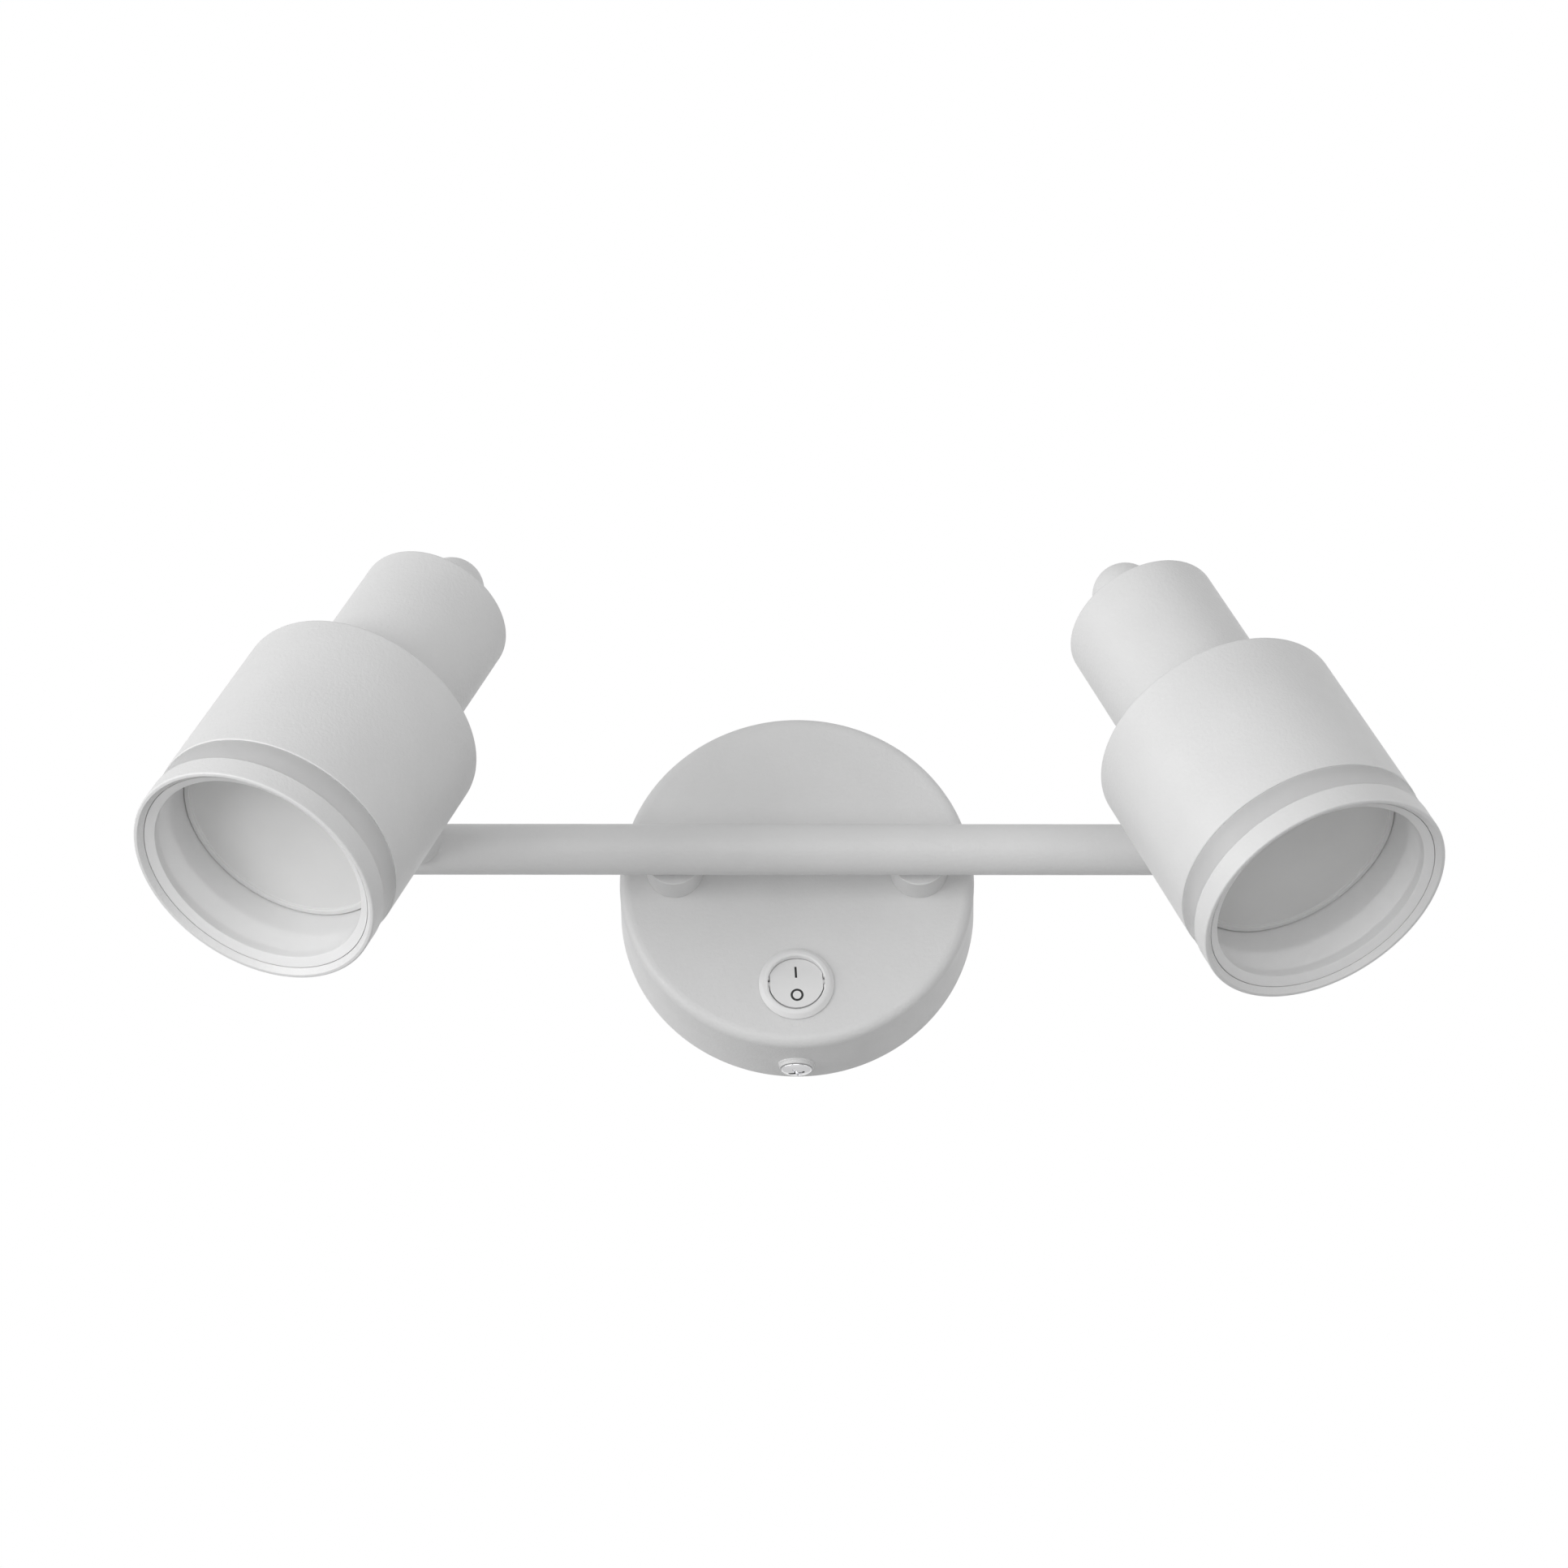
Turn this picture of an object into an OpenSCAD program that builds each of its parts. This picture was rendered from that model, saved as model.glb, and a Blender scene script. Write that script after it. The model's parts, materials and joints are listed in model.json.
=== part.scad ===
// Adjustable wall spotlight. A round base with a rocker switch carries a straight bar on two posts.
// A lamp head hangs at each end of the bar on a swivel, a knuckle and a turning stem.
// Origin: centre of the base's back face, on the wall. X is right, Z is up, the room lies towards -Y.

/* [Base] */
// Diameter of the round cover
cover_d = 110; // [106:1:130]
// Depth of the cover, from the wall to its face
cover_depth = 27; // [26:0.5:36]
// Sheet thickness of the cover
cover_wall = 1.5; // [1:0.1:2]
// Radius of the cover's front edge
cover_edge_r = 2.5; // [1:0.25:4]
// Thickness of the mounting plate
plate_t = 1.5; // [1:0.1:2.5]
// Distance between the two wall screws
fixing_spacing = 64; // [56:1:68]
// Width of a wall screw's slot
slot_w = 4.5; // [4:0.1:5.5]
// End-to-end length of a wall screw's slot
slot_l = 12; // [8:0.5:14]
// Diameter of the supply cable's hole
cable_hole_d = 18; // [14:0.5:20]
// Height of the side screws above the wall
side_screw_out = 10; // [8:0.25:12]
// Diameter of a side screw's head
side_head_d = 9.4; // [7:0.2:10]

/* [Switch] */
// Diameter of the switch's bezel
bezel_d = 23; // [22:0.1:26]
// Height of the bezel above the cover
bezel_h = 2.2; // [1.6:0.1:3]
// Distance of the switch below the cover's centre
switch_drop = 35; // [33:0.5:38]
// Diameter of the rocker
rocker_d = 17; // [15:0.1:17.4]
// Tilt of the rocker each side of level
rocker_swing = 8; // [4:1:9]

/* [Bar] */
// Outside diameter of the bar
bar_d = 15.5; // [14.5:0.1:17]
// Wall thickness of the bar
bar_wall = 1.5; // [1:0.1:1.8]
// Distance of the bar's axis from the wall
bar_stand = 44.5; // [42:0.5:56]
// Height of the bar's axis above the cover's centre
bar_rise = 2.2; // [0:0.1:5]
// Diameter of a post
post_d = 17.5; // [15:0.1:20]
// Distance between the two posts
post_spacing = 75; // [66:1:80]
// Bar left over beyond each head's joint
bar_overhang = 10.5; // [9:0.5:20]

/* [Joints] */
// Distance between the two heads' joints
joint_spacing = 231; // [222:1:260]
// Diameter of the knuckles
knuckle_d = 16; // [15:0.1:18]
// Height of the joint's seat above the bar
seat_rise = 2.25; // [1.5:0.25:5]
// Solid length of the knuckle below its cheek
knuckle_root = 5.4; // [4:0.2:9]
// Distance from the knuckle's pivot to the shoulder of the arm's stem
arm_length = 29.1; // [24:0.1:36]
// Diameter of the hollow bolts that the leads pass through
hollow_d = 8; // [7:0.1:8.6]
// Bore of the hollow bolts
hollow_bore_d = 4; // [3:0.1:5]
// Diameter of the knuckle's pivot screw
pivot_d = 5; // [4:0.1:5.5]

/* [Head] */
// Outside diameter of the head
head_d = 74.5; // [70:0.5:80]
// Length of the head from its front rim to its shoulder
head_len = 70.5; // [66:0.5:84]
// Wall thickness of the head's shell
head_wall = 1.8; // [1.2:0.1:2.2]
// Length of the front ring
ring_len = 7; // [5:0.25:9]
// Width of the front ring's rim
rim_w = 2.5; // [2:0.1:3]
// Width of the clear band behind the front ring
band_w = 8.2; // [5:0.1:10]
// Wall thickness of the clear ring at its front edge
light_wall = 2.4; // [2:0.1:3]
// Depth of the diffuser below the front rim
diffuser_depth = 22.1; // [20:0.1:25]
// Diameter of the rear housing
rear_d = 46.5; // [42:0.5:52]
// Length of the rear housing behind the shoulder
rear_len = 52.5; // [46:0.5:64]
// Distance of the stem behind the shoulder
stem_back = 21.5; // [18:0.5:30]
// Diameter of the rear cap
cap_d = 19.6; // [14:0.2:24]
// Straight length of the rear cap below its round end
cap_len = 11.5; // [6:0.5:16]

/* [Pose] */
// Turn of the left head's knuckle on the bar, outwards
left_swivel = 6.5; // [-20:0.5:20]
// Tilt of the left arm, upwards
left_tilt = 25.5; // [0:0.5:40]
// Turn of the left head on its stem, outwards
left_turn = 27; // [0:0.5:40]
// Turn of the right head's knuckle on the bar, outwards
right_swivel = -4.5; // [-20:0.5:20]
// Tilt of the right arm, upwards
right_tilt = 20.5; // [0:0.5:40]
// Turn of the right head on its stem, outwards
right_turn = 18; // [0:0.5:40]

/* [Hidden] */
$fn = 96;

// Clearances: a shaft that turns, a screw in a plain hole, a drop-in fit, and a cut that runs through a face
run_gap = 0.05;
screw_gap = 0.25;
fit_gap = 0.1;
through = 1;

// Base
cover_r = cover_d / 2;
cover_in = cover_r - cover_wall;
plate_r = cover_in - 1;
lug_w = 14;
lug_t = 1.5;
lug_gap = 0.2;
lug_top = sqrt(pow(cover_in - lug_gap, 2) - pow(lug_w / 2, 2));
m4_r = 2;
m3_r = 1.5;
side_head_r = side_head_d / 2;
collar_r = side_head_r + 0.6;
collar_h = 1;
earth_at = [30, -22];
terminal_at = [-26, -15];
terminal_size = [22, 18, 12];
driver_at = [0, 24];
driver_size = [50, 22, 15];
driver_ear = [8, 10, 2];

// Switch
bezel_r = bezel_d / 2;
rocker_r = rocker_d / 2;
switch_body_r = bezel_r - 1.25;
switch_body_h = 13;
rocker_gap = 0.25;
rocker_flat = 0.95 * rocker_r;
rocker_rise = bezel_h - 0.2;
rocker_depth = 4;
ear_r = 1.2;
ear_out = rocker_r + rocker_gap + 0.5;

// Bar and posts
bar_r = bar_d / 2;
bar_in = bar_r - bar_wall;
post_r = post_d / 2;
post_bite = 0.9;
post_end = bar_stand - bar_r + post_bite;
nipple_r = 5;
nipple_bore = 3.5;
nipple_in = 8;
nut_h = 4;
joint_x = joint_spacing / 2;
bar_half = joint_x + bar_overhang;
end_plug = 5;
end_cap_t = 2;

// Joint heights are measured from the bar's axis along the post that the knuckle turns on
knuckle_r = knuckle_d / 2;
hollow_r = hollow_d / 2;
hollow_bore = hollow_bore_d / 2;
pivot_r = pivot_d / 2;
lap_gap = 0.6;
seat_top = bar_r + seat_rise;
knuckle_foot = seat_top + run_gap;
pivot_h = knuckle_foot + knuckle_root + lap_gap + knuckle_r;
bolt_head_r = bar_in - 1;
bolt_head_top = sqrt(pow(bar_in, 2) - pow(bolt_head_r, 2)) - 0.5;
bolt_head_h = 2.6;
washer_t = 0.6;
pivot_head_r = 1.75 * pivot_r;
pivot_head_h = 2.6;
pivot_hex_r = 1.85 * pivot_r;
pivot_nut_in = 3.4;

// Head, measured back from its front rim
head_r = head_d / 2;
rear_r = rear_d / 2;
rear_wall = 2;
rear_end = head_len + rear_len;
stem_at = head_len + stem_back;
collar_rise = 2.8;
stem_gap = 0.05;
arm_reach = arm_length + stem_gap + collar_rise + rear_r;
shell_in = head_r - head_wall;
floor_t = 2;
flange_r = rear_r + 5.9;
flange_t = 2;
ring_in = head_r - rim_w;
light_out = ring_in - 0.35;
light_in = light_out - light_wall;
light_front = 1.6;
band_end = ring_len + band_w;
light_flare = 0.75;
light_end = diffuser_depth + 2.4;
diffuser_r = light_in + light_flare - 0.3;
diffuser_rim = 1.7;
diffuser_rim_h = 0.8;
diffuser_t = light_end - diffuser_depth;
sink_at = diffuser_depth + 19.5;
sink_t = 5;
board_t = 1.6;
board_r = 23.5;
reflector_t = 1.2;
fin_len = 11;
fin_t = 1.6;
fin_count = 10;
post_pitch = shell_in - 3.2;
post_rad = 3.5;

// Turns the base's own axes to the wall: x right, y up, z out into the room
module from_wall() {
    rotate([90, 0, 0]) children();
}

// Draws the right-hand form on the right and its mirror image on the left
module on_side(side) {
    if (side > 0) children();
    else mirror([1, 0, 0]) children();
}

function swivel_of(side) = side > 0 ? right_swivel : left_swivel;
function tilt_of(side) = side > 0 ? right_tilt : left_tilt;
function turn_of(side) = side > 0 ? right_turn : left_turn;

// Bar's axis at a head's joint, with z out of the bar
module at_joint(side) {
    on_side(side) translate([joint_x, -bar_stand, bar_rise]) from_wall() children();
}

// The knuckle turns about the post
module at_knuckle(side) {
    at_joint(side) rotate([0, 0, -swivel_of(side)]) children();
}

// The arm tilts about the pivot screw, and z runs along its stem
module at_arm(side) {
    at_knuckle(side) translate([0, 0, pivot_h]) rotate([-tilt_of(side), 0, 0]) children();
}

// The head turns about the stem. Here z runs back from the front rim, and +y faces the arm
module at_head(side) {
    at_arm(side) rotate([0, 0, turn_of(side)]) translate([0, 0, arm_reach]) rotate([-90, 0, 0])
        translate([0, 0, -stem_at]) children();
}

// A tube or ring between two heights
module ring(outer, inner, from, to) {
    difference() {
        translate([0, 0, from]) cylinder(r = outer, h = to - from);
        translate([0, 0, from - through]) cylinder(r = inner, h = to - from + 2 * through);
    }
}

// A screw with its shank below z = 0 and a cross recess in its head
module cross_screw(shank, length, head, head_h) {
    difference() {
        union() {
            translate([0, 0, -length]) cylinder(r = shank, h = length);
            cylinder(r1 = head, r2 = 0.72 * head, h = head_h);
        }
        for (a = [0, 90]) {
            rotate([0, 0, a]) translate([-0.5 * head, -0.11 * head, 0.35 * head_h])
                cube([head, 0.22 * head, head_h]);
        }
    }
}

module copies_at(places) {
    for (p = places) translate([p[0], p[1], 0]) children();
}

terminal_fixings = [[terminal_at[0], terminal_at[1]]];
driver_fixings = [
    [driver_at[0] - driver_size[0] / 2 + driver_ear[0] / 2, driver_at[1]],
    [driver_at[0] + driver_size[0] / 2 - driver_ear[0] / 2, driver_at[1]]
];

module slot(width, length, depth) {
    for (s = [-1, 1]) translate([s * (length - width) / 2, 0, 0]) cylinder(d = width, h = depth);
    translate([-(length - width) / 2, -width / 2, 0]) cube([length - width, width, depth]);
}

// Steel plate on the wall, with a bent lug at top and bottom for the cover's side screws
module wall_plate() {
    lug_h = side_screw_out + m4_r + 2.5;
    color("silver") from_wall() difference() {
        union() {
            cylinder(r = plate_r, h = plate_t);
            for (s = [1, -1]) {
                translate([-lug_w / 2, s > 0 ? lug_top - lug_t : -lug_top, 0]) cube([lug_w, lug_t, lug_h]);
            }
        }
        translate([0, 0, -through]) cylinder(d = cable_hole_d, h = plate_t + 2 * through);
        for (s = [1, -1]) {
            translate([s * fixing_spacing / 2, 0, -through]) slot(slot_w, slot_l, plate_t + 2 * through);
        }
        translate([0, cover_r, side_screw_out]) rotate([90, 0, 0]) cylinder(r = m4_r + run_gap, h = cover_d);
        translate([earth_at[0], earth_at[1], -through]) cylinder(r = m4_r + run_gap, h = plate_t + 2 * through);
        translate([0, 0, -through]) copies_at(concat(terminal_fixings, driver_fixings))
            cylinder(r = m3_r + run_gap, h = plate_t + 2 * through);
    }
}

module earth_screw() {
    color("goldenrod") from_wall() translate([earth_at[0], earth_at[1], 0]) {
        translate([0, 0, plate_t + 1]) cross_screw(m4_r, plate_t + 1, 3.8, 2.4);
        ring(4.4, m4_r + run_gap, plate_t, plate_t + 1);
    }
}

// Three-way block, open at top and bottom for the wires
module terminal_block() {
    way = terminal_size[0] / 3;
    color("ivory") from_wall() translate([terminal_at[0], terminal_at[1], plate_t]) difference() {
        translate([-terminal_size[0] / 2, -terminal_size[1] / 2, 0]) cube(terminal_size);
        for (i = [-1, 0, 1]) {
            translate([i * way, terminal_size[1] / 2 + through, terminal_size[2] - 4]) rotate([90, 0, 0])
                cylinder(r = 1.8, h = 6 + through);
            translate([i * way, -terminal_size[1] / 2 - through, terminal_size[2] - 4]) rotate([-90, 0, 0])
                cylinder(r = 1.8, h = 6 + through);
            for (s = [-1, 1]) translate([i * way, s * 5.5, terminal_size[2] - 4])
                cylinder(r = m3_r + run_gap, h = 4 + through);
        }
        translate([0, 0, -through]) cylinder(r = m3_r + run_gap, h = terminal_size[2] + 2 * through);
        translate([0, 0, terminal_size[2] - 4]) cylinder(r = 3, h = 4 + through);
    }
}

// Clamp screws of the three ways, and the screw that holds the block to the plate
module terminal_screws() {
    way = terminal_size[0] / 3;
    color("goldenrod") from_wall() translate([terminal_at[0], terminal_at[1], plate_t]) {
        for (i = [-1, 0, 1]) for (s = [-1, 1]) {
            translate([i * way, s * 5.5, terminal_size[2] - 3.2]) cylinder(r = m3_r, h = 2.4);
        }
        translate([0, 0, terminal_size[2] - 4]) cross_screw(m3_r, terminal_size[2] - 4 + plate_t, 2.7, 2);
    }
}

module led_driver() {
    case_w = driver_size[0] - 2 * driver_ear[0];
    color("white") from_wall() difference() {
        translate([driver_at[0], driver_at[1], plate_t]) {
            translate([-case_w / 2, -driver_size[1] / 2, 0])
                cube([case_w, driver_size[1], driver_size[2]]);
            translate([-driver_size[0] / 2, -driver_ear[1] / 2, 0])
                cube([driver_size[0], driver_ear[1], driver_ear[2]]);
        }
        translate([0, 0, plate_t - through]) copies_at(driver_fixings)
            cylinder(r = m3_r + screw_gap, h = driver_ear[2] + 2 * through);
    }
}

module driver_screws() {
    color("silver") from_wall() translate([0, 0, plate_t + driver_ear[2]]) copies_at(driver_fixings)
        cross_screw(m3_r, plate_t + driver_ear[2], 2.8, 2);
}

// Half outline of a cup with a rounded edge, its mouth at y = 0
module cup_half(r, h, edge) {
    square([r, h - edge]);
    square([r - edge, h]);
    translate([r - edge, h - edge]) circle(r = edge);
}

// Pressed cup over the plate, with raised collars round its side screws
module base_cover() {
    inner_edge = max(cover_edge_r - cover_wall, 0.3);
    color("white") from_wall() difference() {
        union() {
            rotate_extrude() cup_half(cover_r, cover_depth, cover_edge_r);
            translate([0, cover_r + collar_h, side_screw_out]) rotate([90, 0, 0])
                cylinder(r = collar_r, h = cover_d + 2 * collar_h);
        }
        rotate_extrude() {
            cup_half(cover_in, cover_depth - cover_wall, inner_edge);
            translate([0, -through]) square([cover_in, 2 * through]);
        }
        translate([0, cover_d, side_screw_out]) rotate([90, 0, 0]) cylinder(r = m4_r + screw_gap, h = 2 * cover_d);
        translate([0, -switch_drop, cover_depth - cover_wall - through])
            cylinder(r = switch_body_r + fit_gap, h = cover_wall + 2 * through);
        for (s = [-1, 1]) translate([s * post_spacing / 2, bar_rise, cover_depth - cover_wall - through])
            cylinder(r = nipple_r + fit_gap, h = cover_wall + 2 * through);
    }
}

module side_screws() {
    reach = cover_r + collar_h;
    color("silver") from_wall() for (s = [1, -1]) {
        translate([0, s * reach, side_screw_out]) rotate([-s * 90, 0, 0])
            cross_screw(m4_r, reach - lug_top + lug_t + 1.5, side_head_r, 1.6);
    }
}

// Snap-in body with a sloping bezel, and sockets for the rocker's two ears
module switch_housing() {
    mouth = rocker_r + rocker_gap;
    floor_t = 4;
    back = -cover_wall - switch_body_h;
    color("white") from_wall() translate([0, -switch_drop, cover_depth]) difference() {
        union() {
            cylinder(r1 = bezel_r, r2 = mouth + 0.8, h = bezel_h);
            translate([0, 0, back]) cylinder(r = switch_body_r, h = -back);
        }
        translate([0, 0, back + floor_t]) cylinder(r = mouth, h = -back + bezel_h);
        rotate([0, 90, 0]) cylinder(r = ear_r + run_gap, h = 2 * (ear_out + fit_gap), center = true);
        for (x = [-4.5, 0, 4.5]) translate([x - 0.4, -2.4, back - through]) cube([0.8, 4.8, floor_t + 2 * through]);
    }
}

// Rocker with flat sides and a shallow ridge, pressed in at the top. It stays inside a ball round
// its pivot, so it clears the mouth as it tips
module switch_rocker() {
    ball = rocker_r + 0.1;
    color("white") from_wall() translate([0, -switch_drop, cover_depth]) rotate([-rocker_swing, 0, 0]) {
        difference() {
            intersection() {
                sphere(r = ball);
                translate([0, 0, -rocker_depth]) cylinder(r = rocker_r, h = rocker_depth + rocker_rise);
                translate([-rocker_flat, -rocker_r, -rocker_depth])
                    cube([2 * rocker_flat, 2 * rocker_r, rocker_depth + rocker_rise]);
            }
            translate([0, 0, -rocker_depth - through]) cylinder(r = rocker_r - 3, h = 3 + through);
            for (a = [0, 180]) rotate([0, 0, a]) translate([-rocker_r, 0, rocker_rise]) rotate([-rocker_swing, 0, 0])
                cube([2 * rocker_r, 2 * rocker_r, rocker_r]);
        }
        rotate([0, 90, 0]) cylinder(r = ear_r, h = 2 * ear_out, center = true);
    }
}

module switch_terminals() {
    color("goldenrod") from_wall() translate([0, -switch_drop, cover_depth - cover_wall - switch_body_h]) {
        for (x = [-4.5, 0, 4.5]) translate([x - 0.4, -2.4, -6]) cube([0.8, 4.8, 10]);
    }
}

// Turned post between the cover's face and the bar, hollow for the nipple
module post(side) {
    color("white") from_wall() translate([side * post_spacing / 2, bar_rise, 0]) difference() {
        ring(post_r, nipple_r + fit_gap, cover_depth, post_end);
        translate([0, 0, bar_stand]) rotate([0, 90, 0]) cylinder(r = bar_r, h = 2 * post_d, center = true);
    }
}

// Threaded tubes that hold the bar to the cover and carry the leads
module post_nipples() {
    color("goldenrod") from_wall() for (s = [-1, 1]) translate([s * post_spacing / 2, bar_rise, 0])
        ring(nipple_r, nipple_bore, cover_depth - cover_wall - nipple_in, bar_stand - bar_in + 1.2);
}

module post_nuts() {
    inside = cover_depth - cover_wall;
    color("silver") from_wall() for (s = [-1, 1]) translate([s * post_spacing / 2, bar_rise, 0]) {
        ring(nipple_r + 3.5, nipple_r + run_gap, inside - 1, inside);
        difference() {
            translate([0, 0, inside - 1 - nut_h]) cylinder(r = nipple_r + 3, h = nut_h, $fn = 6);
            translate([0, 0, inside - 1 - nut_h - through])
                cylinder(r = nipple_r + run_gap, h = nut_h + 2 * through);
        }
    }
}

module crossbar() {
    color("white") difference() {
        translate([-bar_half, -bar_stand, bar_rise]) rotate([0, 90, 0]) ring(bar_r, bar_in, 0, 2 * bar_half);
        from_wall() for (s = [-1, 1]) {
            translate([s * post_spacing / 2, bar_rise, bar_stand - bar_r - through])
                cylinder(r = nipple_r + run_gap, h = bar_r + through);
            translate([s * joint_x, bar_rise, bar_stand]) cylinder(r = hollow_r + run_gap, h = bar_r + through);
        }
    }
}

module end_cap(side) {
    color("white") on_side(side) translate([bar_half, -bar_stand, bar_rise]) rotate([0, 90, 0]) {
        intersection() {
            cylinder(r = bar_r, h = end_cap_t);
            translate([0, 0, end_cap_t - 3 * bar_r]) sphere(r = 3 * bar_r);
        }
        translate([0, 0, -end_plug]) cylinder(r = bar_in - run_gap, h = end_plug);
    }
}

// Collar between the bar's front and the turning knuckle
module joint_seat(side) {
    color("white") at_joint(side) difference() {
        ring(knuckle_r, hollow_r + run_gap, bar_r - post_bite, seat_top);
        rotate([0, 90, 0]) cylinder(r = bar_r, h = 2 * knuckle_d, center = true);
    }
}

// Curved washers inside the bar, under the swivel bolts' heads
module swivel_washers() {
    color("silver") for (side = [-1, 1]) at_joint(side) difference() {
        intersection() {
            rotate([0, 90, 0]) cylinder(r = bar_in - run_gap, h = 4 * bar_r, center = true);
            translate([0, 0, bolt_head_top + run_gap]) cylinder(r = bolt_head_r, h = bar_r);
        }
        cylinder(r = hollow_r + run_gap, h = 2 * bar_r);
    }
}

// Round stock with a rounded end and a flat cheek on the inner side
module cheek(from) {
    intersection() {
        translate([0, 0, from]) cylinder(r = knuckle_r, h = 4 * knuckle_d);
        union() {
            translate([-knuckle_r, -knuckle_r, from]) cube([knuckle_d, knuckle_d, -from]);
            rotate([0, 90, 0]) cylinder(r = knuckle_r, h = knuckle_d, center = true);
        }
    }
}

// Half of the joint that turns on the bar. Its pivot is at z = 0 here
module knuckle(side) {
    foot = knuckle_foot - pivot_h;
    color("white") at_knuckle(side) translate([0, 0, pivot_h]) difference() {
        cheek(foot);
        translate([-washer_t / 2, -knuckle_d, -knuckle_r - lap_gap])
            cube([knuckle_d, 2 * knuckle_d, 3 * knuckle_d]);
        rotate([0, 90, 0]) cylinder(r = pivot_r + run_gap, h = 2 * knuckle_d, center = true);
        rotate([0, -90, 0]) translate([0, 0, knuckle_r - pivot_nut_in])
            cylinder(r = pivot_hex_r, h = knuckle_d, $fn = 6);
        translate([0, 0, foot - through]) cylinder(r = hollow_r, h = knuckle_root + through);
    }
}

module swivel_bolt(side) {
    color("silver") at_knuckle(side) difference() {
        union() {
            translate([0, 0, bolt_head_top]) cylinder(r = hollow_r, h = knuckle_foot + knuckle_root - bolt_head_top);
            translate([0, 0, bolt_head_top - bolt_head_h]) cylinder(r = bolt_head_r, h = bolt_head_h);
        }
        translate([0, 0, -bar_r]) cylinder(r = hollow_bore, h = 4 * pivot_h);
    }
}

module pivot_screw(side) {
    color("silver") at_knuckle(side) translate([0, 0, pivot_h]) rotate([0, 90, 0]) difference() {
        union() {
            translate([0, 0, -knuckle_r + 0.4]) cylinder(r = pivot_r, h = knuckle_d - pivot_head_h - 0.8);
            translate([0, 0, knuckle_r - pivot_head_h - 0.4]) cylinder(r = pivot_head_r, h = pivot_head_h);
        }
        translate([0, 0, knuckle_r - 2]) cylinder(r = 0.55 * pivot_r, h = pivot_head_h, $fn = 6);
    }
}

module pivot_nut(side) {
    color("silver") at_knuckle(side) translate([0, 0, pivot_h]) rotate([0, -90, 0])
        translate([0, 0, knuckle_r - pivot_nut_in]) difference() {
            cylinder(r = pivot_hex_r - fit_gap, h = pivot_nut_in - 1, $fn = 6);
            translate([0, 0, -through]) cylinder(r = pivot_r + 0.02, h = pivot_nut_in + 2 * through);
        }
}

module friction_washer(side) {
    color("dimgray") at_knuckle(side) translate([0, 0, pivot_h]) rotate([0, 90, 0])
        ring(knuckle_r - 1, pivot_r + run_gap, -washer_t / 2, washer_t / 2 - 0.05);
}

// Half of the joint that tilts, with a stem that ends inside the head
module arm(side) {
    shoulder = knuckle_r + lap_gap;
    neck = arm_length - 6;
    tip = arm_reach - rear_r + rear_wall + 8;
    color("white") at_arm(side) difference() {
        union() {
            mirror([0, 0, 1]) cheek(-neck);
            translate([0, 0, neck]) cylinder(r1 = knuckle_r, r2 = hollow_r + 3, h = arm_length - neck);
            translate([0, 0, neck]) cylinder(r = hollow_r, h = tip - neck);
        }
        translate([washer_t / 2 - knuckle_d, -knuckle_d, -2 * knuckle_d])
            cube([knuckle_d, 2 * knuckle_d, 2 * knuckle_d + shoulder]);
        rotate([0, 90, 0]) cylinder(r = pivot_r + run_gap, h = 2 * knuckle_d, center = true);
        rotate([0, 90, 0]) translate([0, 0, knuckle_r - pivot_head_h - 0.4])
            cylinder(r = pivot_head_r + fit_gap, h = knuckle_d);
        translate([0, 0, shoulder]) cylinder(r = hollow_bore, h = 2 * arm_reach);
    }
}

module stem_nut(side) {
    seat = arm_reach - rear_r + rear_wall + 2 + stem_gap;
    color("silver") at_arm(side) translate([0, 0, seat]) difference() {
        cylinder(r = hollow_r + 2.6, h = 4, $fn = 6);
        translate([0, 0, -through]) cylinder(r = hollow_r + 0.02, h = 4 + 2 * through);
    }
}

// Collar on the housing that the arm's shoulder bears on. Here z runs from the arm to the head's axis
module at_stem(side) {
    at_arm(side) rotate([0, 0, turn_of(side)]) children();
}

module stem_collar(side) {
    color("white") at_stem(side) difference() {
        ring(knuckle_r, hollow_r + run_gap, arm_length + stem_gap, arm_reach);
        translate([0, 0, arm_reach]) rotate([90, 0, 0]) cylinder(r = rear_r, h = 4 * rear_r, center = true);
    }
}

module stem_seat(side) {
    color("silver") at_stem(side) intersection() {
        ring(hollow_r + 3.4, hollow_r + run_gap, arm_length, arm_reach - rear_r + rear_wall + 2);
        translate([0, 0, arm_reach]) rotate([90, 0, 0])
            cylinder(r = rear_r - rear_wall - 0.02, h = 4 * rear_r, center = true);
    }
}

// Rear can with a closed end. Its flange sits on the floor of the head's shell
module rear_housing(side) {
    color("white") at_head(side) difference() {
        union() {
            translate([0, 0, head_len - floor_t - flange_t]) cylinder(r = flange_r, h = flange_t);
            translate([0, 0, head_len - floor_t]) cylinder(r = rear_r, h = floor_t + rear_len - 1);
            translate([0, 0, rear_end - 1]) rotate_extrude() {
                square([rear_r - 1, 1]);
                intersection() {
                    translate([rear_r - 1, 0]) circle(r = 1);
                    square([rear_r, 1]);
                }
            }
        }
        translate([0, 0, head_len - floor_t - flange_t - through])
            cylinder(r = rear_r - rear_wall, h = floor_t + flange_t + rear_len - rear_wall + through);
        translate([0, 0, stem_at]) rotate([-90, 0, 0]) cylinder(r = hollow_r + run_gap, h = 2 * rear_r);
        translate([0, 0, rear_end - 2 * rear_wall]) cylinder(r = m4_r + fit_gap, h = 3 * rear_wall);
        copies_at(flange_points()) translate([0, 0, head_len - floor_t - flange_t - through])
            cylinder(r = m3_r + screw_gap, h = flange_t + 2 * through);
        copies_at(post_points()) translate([0, 0, head_len - floor_t - flange_t - through])
            cylinder(r = post_rad + 0.4, h = flange_t + through);
    }
}

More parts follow.
